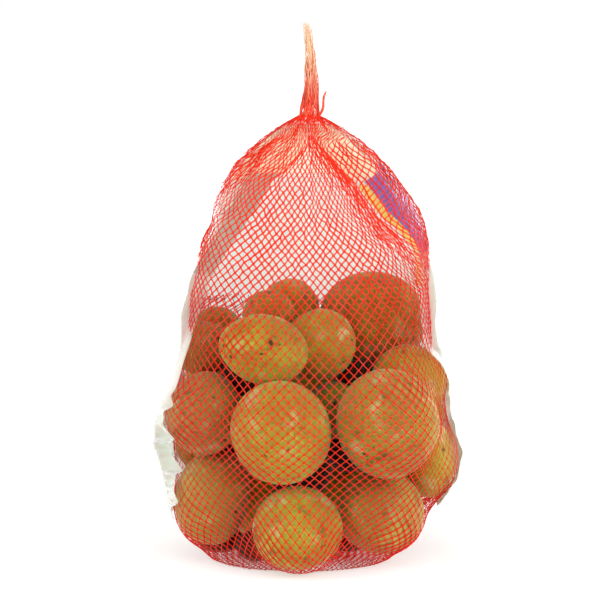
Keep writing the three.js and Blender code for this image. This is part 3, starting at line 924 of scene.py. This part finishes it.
# heights with how far a band stands off the net there
filmStand = {
    "left": [
        (33, 0.5), (40, 2), (54, 5), (67, 8.5), (81, 10.5), (95, 7), (109, 2.2), (122, 2), (136, 1.6),
        (150, 0.6), (170, 2.2), (184, 0),
    ],
    "right": [
        (74, 0), (88, 1), (102, 3.2), (112, 3.6), (126, 1), (136, 0), (164, 0), (177, 2), (198, 1), (205, 0),
    ],
}


def readStations(stations, height):
    heights, numbers = zip(*stations)
    return np.interp(height, heights, numbers)


def scallops(label, height):  # the wave along a band's front edge, and how loose it is there
    look = filmLook
    loose = smooth(height, look["scallopFrom"], look["scallopFrom"] - look["scallopFade"])
    turns = 2 * math.pi * height / look["scallopLength"][label]
    sway = look["sway"] * np.sin(height / look["swayLength"])
    large = look["large"] * np.sin(turns + sway + look["phase"])
    small = look["small"] * np.sin(look["smallTurns"] * turns + height / look["smallLength"])
    return (large + small) * loose, loose


def sheetFaces(rows, columns, turnOver):  # an inner and an outer side, and a wall round the rim
    count = rows * columns
    index = np.arange(count).reshape(rows, columns)
    face = gridQuads(index)
    rim = np.concatenate([index[0, :-1], index[:-1, -1], index[-1, :0:-1], index[:0:-1, 0]])
    wall = np.stack([rim, np.roll(rim, -1), np.roll(rim, -1) + count, rim + count], -1)
    quads = np.concatenate([face[:, ::-1], face + count, wall])
    if turnOver:
        quads = quads[:, ::-1]
    # the inner side has the left half of the map, and the outer side the right half
    across = mapMargin + (0.5 - 2 * mapMargin) * np.linspace(0, 1, columns)
    up = mapMargin + (1 - 2 * mapMargin) * np.linspace(0, 1, rows)
    spot = np.stack(np.meshgrid(across, up), -1).reshape(-1, 2)
    spots = np.concatenate([spot, spot + np.array([0.5, 0])])
    uv = spots[quads]
    uv[-len(wall):] = spots[quads[-len(wall):] % count + count]  # the wall has the outer side's colours
    return quads, uv.reshape(-1, 2)


def filmSheet(label):
    v, look = netShape, filmLook
    share = np.arange(look["columns"] + 1)[None, :] / look["columns"]
    rise = np.arange(look["rows"] + 1)[:, None] / look["rows"]
    footLevel = 1 - look["footAngle"] / 90
    topLevel = 1 + (look["top"] - v["axisHeight"]) / climbHeight
    level = footLevel + (topLevel - footLevel) * rise
    dip = np.clip(1 - level, 0, 1) * math.pi / 2
    climb = np.clip(level - 1, 0, 1) * climbHeight
    height = v["axisHeight"] + climb - v["girthHalfWidth"] * np.tan(dip)
    wave, loose = scallops(label, height)
    front = readStations(filmFront[label], height) + look["scallop"][label] * wave
    seam = 90 - np.degrees(look["seam"] / readRadius(level, np.full_like(level, math.pi / 2)))
    back = np.minimum(readStations(filmBack, height), seam)
    swing = front + (back - front) * share ** look["frontCrowd"]
    behind = swing - front
    angle = np.radians(swing) if label == "right" else math.pi - np.radians(swing)
    level = level + 0 * share
    least = readRadius(level, angle) * pleat(level, angle) + look["gap"]
    reach = least.copy()
    for step in range(look["passes"]):
        reach[1:-1] = np.maximum(least[1:-1], (reach[2:] + reach[:-2]) / 2)
    lower = look["lap"][label] * smooth(behind, *look["lapWidth"])
    top = look["tuckTo"] + look["tuckRise"] * smooth(swing, *look["riseTurn"])
    under = smooth((height + lower - look["tuckFrom"]) / (top - look["tuckFrom"]), 0, 1)
    reach = reach + (least - look["tuck"] - reach) * under
    most, flat = look["swell"]
    stand = readStations(filmStand[label], height)
    reach = reach + stand * smooth(behind, 0, most) * smooth(behind, flat, most)
    reach = reach + look["ruffle"] * (wave + loose) / 2 * np.exp(-behind / look["ruffleReach"])
    crease = np.zeros_like(reach)
    for fold in range(look["creases"]):  # small crinkles in the film
        across, along = draw.normal() * look["creaseAcross"], draw.normal() * look["creaseAlong"]
        crease += np.sin(across * share + along * rise + draw.uniform(*look["creasePhase"]))
    crease = crease / math.sqrt(look["creases"]) + 1
    reach = reach + look["crinkle"] * crease * smooth(height, look["top"], look["top"] - look["creaseFade"])
    origin, direction = raysAt(level, angle)
    sides = [origin + direction * (reach + extra)[..., None] for extra in (0, look["thickness"])]
    points = np.concatenate([side.reshape(-1, 3) for side in sides])
    quads, uv = sheetFaces(*reach.shape, label == "right")
    values = {
        "edge": np.tile((reach * np.radians(behind)).ravel(), 2),  # mm round from the front edge
        "height": np.tile(np.broadcast_to(height, reach.shape).ravel(), 2),
    }
    return points, quads, values, uv


def filmPlastic(label):
    look = filmLook
    material, tree, shader = newMaterial("film_" + label)
    place = addNode(tree, "ShaderNodeTexCoord").outputs["Object"]
    edge, height = readValue(tree, "edge"), readValue(tree, "height")
    crisp = look["crisp"]

    def above(value, bound):
        return ramp(tree, value, bound - crisp, bound + crisp)

    def below(value, bound):
        return ramp(tree, value, bound - crisp, bound + crisp, 1, 0)

    def both(first, second):
        return calculate(tree, "MULTIPLY", first, second)

    def band(value, low, high):
        return both(above(value, low), below(value, high))

    def paint(colour, first, second, ink):
        return mixColour(tree, both(first, second), colour, look[ink])

    colour = mixColour(tree, clouds(tree, place, *look["haze"]), look["white"][label], look["shade"][label])
    # painted shade: the band's back part turns a cooler, greyer white
    colour = mixColour(tree, ramp(tree, edge, *look["shadeBehindFrom"]), colour, look["behind"])
    top = look["purpleTop"]
    colour = mixColour(tree, ramp(tree, height, top, top + look["creamFade"]), colour, look["cream"])
    if label == "right":
        stripe = band(edge, look["printStart"], look["stripeWidth"])
        colour = paint(colour, stripe, band(height, look["paleFoot"], look["stripeFoot"]), "paleYellow")
        colour = paint(colour, stripe, band(height, look["stripeFoot"], top), "yellow")
        block = band(edge, look["stripeWidth"], look["purpleWidth"])
        slanted = calculate(tree, "MULTIPLY_ADD", edge, -look["purpleSlant"], height)
        colour = paint(colour, block, both(above(height, look["purpleFoot"]), below(slanted, top)), "purple")
    else:
        # painted shade: the left band's shaded inner side, as a grey strip
        strip = band(edge, look["printStart"], look["shadeWidth"])
        colour = paint(colour, strip, band(height, look["shadeFoot"], look["shadeTop"]), "shadeGrey")
    tree.links.new(colour, shader.inputs["Base Color"])
    addBump(tree, shader, clouds(tree, place, *look["wrinkle"]), look["bump"], look["bumpDepth"])
    setFinish(shader, look["finish"])
    return material


for label in ("left", "right"):
    points, quads, values, uv = filmSheet(label)
    film = makePiece("film_" + label, points, quads, filmPlastic(label), values, uv)
    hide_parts("film_band_" + label)
print("film bands made")

# studio

studio = {
    # a lit table under the net
    "floorSize": 30,
    "floor": {
        "Base Color": (0.6, 0.6, 0.6, 1.0), "Roughness": 0.9, "Specular IOR Level": 0.0,
        "Emission Color": (1, 1, 1, 1), "Emission Strength": 0.5,
    },
    "sky": 0.48, "backdrop": 1.0,  # light from all round, and the white seen behind
    "suns": [
        {"name": "key", "from": (0.0, -0.6, 1.0), "power": 0.8, "spread": 60},
        {"name": "right", "from": (1.0, -0.6, 0.5), "power": 1.85, "spread": 40},
        {"name": "left", "from": (-1.0, -0.5, 0.5), "power": 1.25, "spread": 40},
        {"name": "backRight", "from": (1.0, 0.7, 0.3), "power": 1.0, "spread": 50},
        {"name": "backLeft", "from": (-1.0, 0.7, 0.3), "power": 1.0, "spread": 50},
    ],
    "elevation": 8.0, "distance": 1.5, "target": (-0.0051, 0.0, 0.1763),
    "sensor": 36, "pixelsAcross": 603, "pixelSize": 0.00068,  # what a pixel covers at the target
}

floorMaterial, _, floorShader = newMaterial("paleFloor")
setFinish(floorShader, studio["floor"])
bpy.ops.mesh.primitive_plane_add(size=studio["floorSize"])
floor = bpy.context.object
floor.name = "floor"
floor.data.materials.append(floorMaterial)

world = bpy.data.worlds.new("studioWorld")
bpy.context.scene.world = world
world.use_nodes = True
worldTree = world.node_tree
background = worldTree.nodes["Background"]
path = addNode(worldTree, "ShaderNodeLightPath")
direct = calculate(worldTree, "MAXIMUM", path.outputs["Is Camera Ray"], path.outputs["Is Transmission Ray"])
strength = calculate(worldTree, "MULTIPLY_ADD", direct, studio["backdrop"] - studio["sky"], studio["sky"])
background.inputs["Color"].default_value = (1, 1, 1, 1)
worldTree.links.new(strength, background.inputs["Strength"])


def aim(item, target):
    away = np.array(target) - np.array(item.location)
    flat = math.hypot(away[0], away[1])
    item.rotation_euler = (math.pi / 2 + math.atan2(away[2], flat), 0, math.atan2(-away[0], away[1]))


for lamp in studio["suns"]:
    data = bpy.data.lights.new(lamp["name"], "SUN")
    data.energy, data.angle = lamp["power"], math.radians(lamp["spread"])
    sun = bpy.data.objects.new(lamp["name"], data)
    sun.location = lamp["from"]
    bpy.context.collection.objects.link(sun)
    aim(sun, (0, 0, 0))

tip = math.radians(studio["elevation"])
cameraData = bpy.data.cameras.new("camera")
cameraData.sensor_width = studio["sensor"]
cameraData.lens = studio["sensor"] * studio["distance"] / (studio["pixelSize"] * studio["pixelsAcross"])
cameraObject = bpy.data.objects.new("camera", cameraData)
away = studio["distance"] * np.array([0, -math.cos(tip), math.sin(tip)])
cameraObject.location = np.array(studio["target"]) + away
bpy.context.collection.objects.link(cameraObject)
aim(cameraObject, studio["target"])
bpy.context.scene.camera = cameraObject
bpy.context.scene.view_settings.view_transform = "Standard"
print("studio set")
